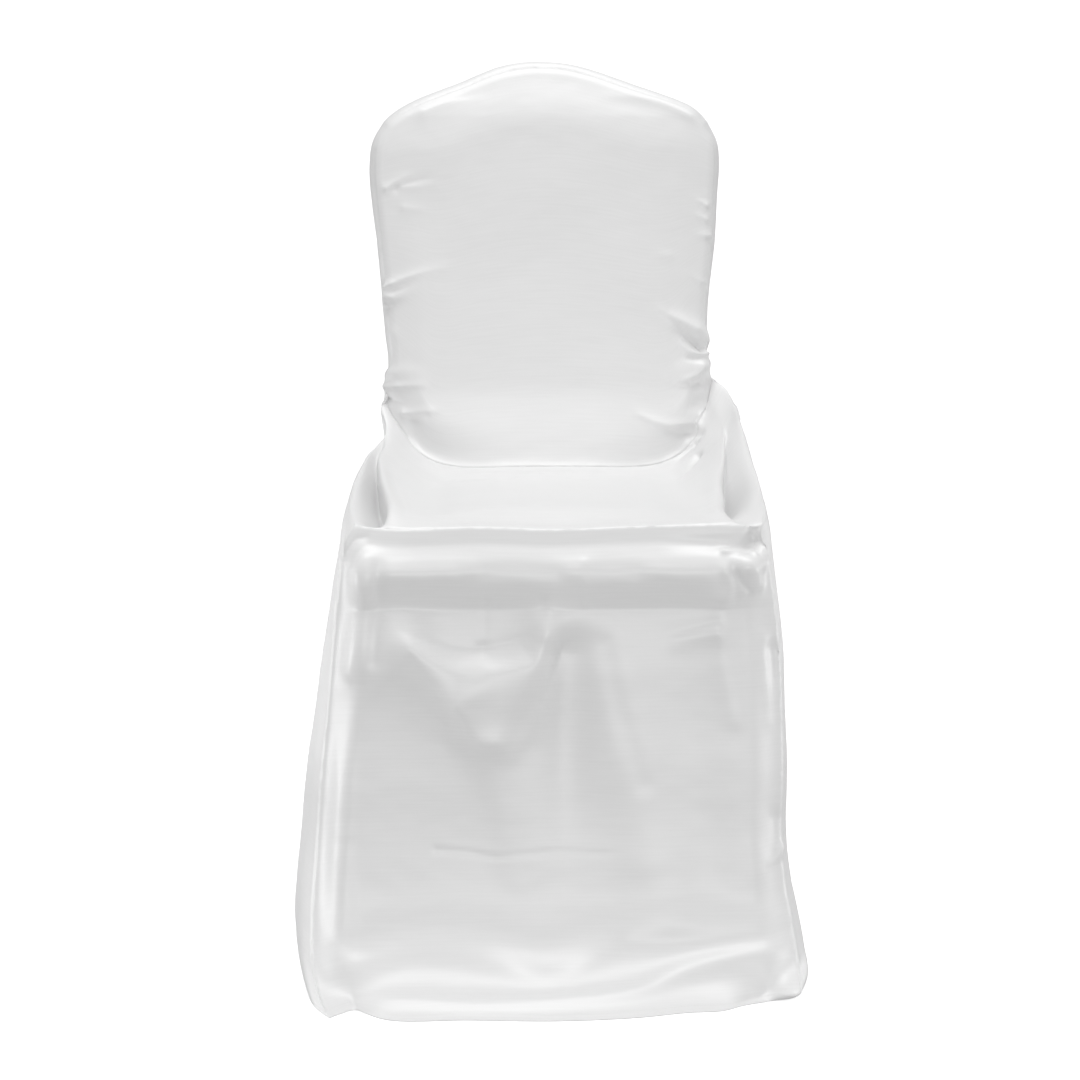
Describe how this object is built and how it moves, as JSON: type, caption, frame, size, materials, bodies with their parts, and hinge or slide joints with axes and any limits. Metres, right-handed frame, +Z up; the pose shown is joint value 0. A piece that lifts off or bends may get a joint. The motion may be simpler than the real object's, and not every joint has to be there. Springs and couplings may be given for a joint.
{
  "type": "fitted chair cover",
  "caption": "Fitted white satin cover for a banquet chair with a crowned back: sewn panels over the back and seat, with a skirt to the floor.",
  "frame": {"origin": "under the middle of the crown, where the top of the chair's back carries the cover", "axes": "+X to the right seen from the front, +Y from the front of the seat to the back, +Z up"},
  "size_m": [0.5309, 0.6955, 0.9499],
  "materials": {
    "white_satin": "smooth satin weave with a soft sheen"
  },
  "bodies": {
    "root": {"inside_back": "white_satin", "seat": "white_satin", "front_skirt": "white_satin", "side_left": "white_satin", "side_right": "white_satin", "outside_back": "white_satin"}
  },
  "joints": []
}
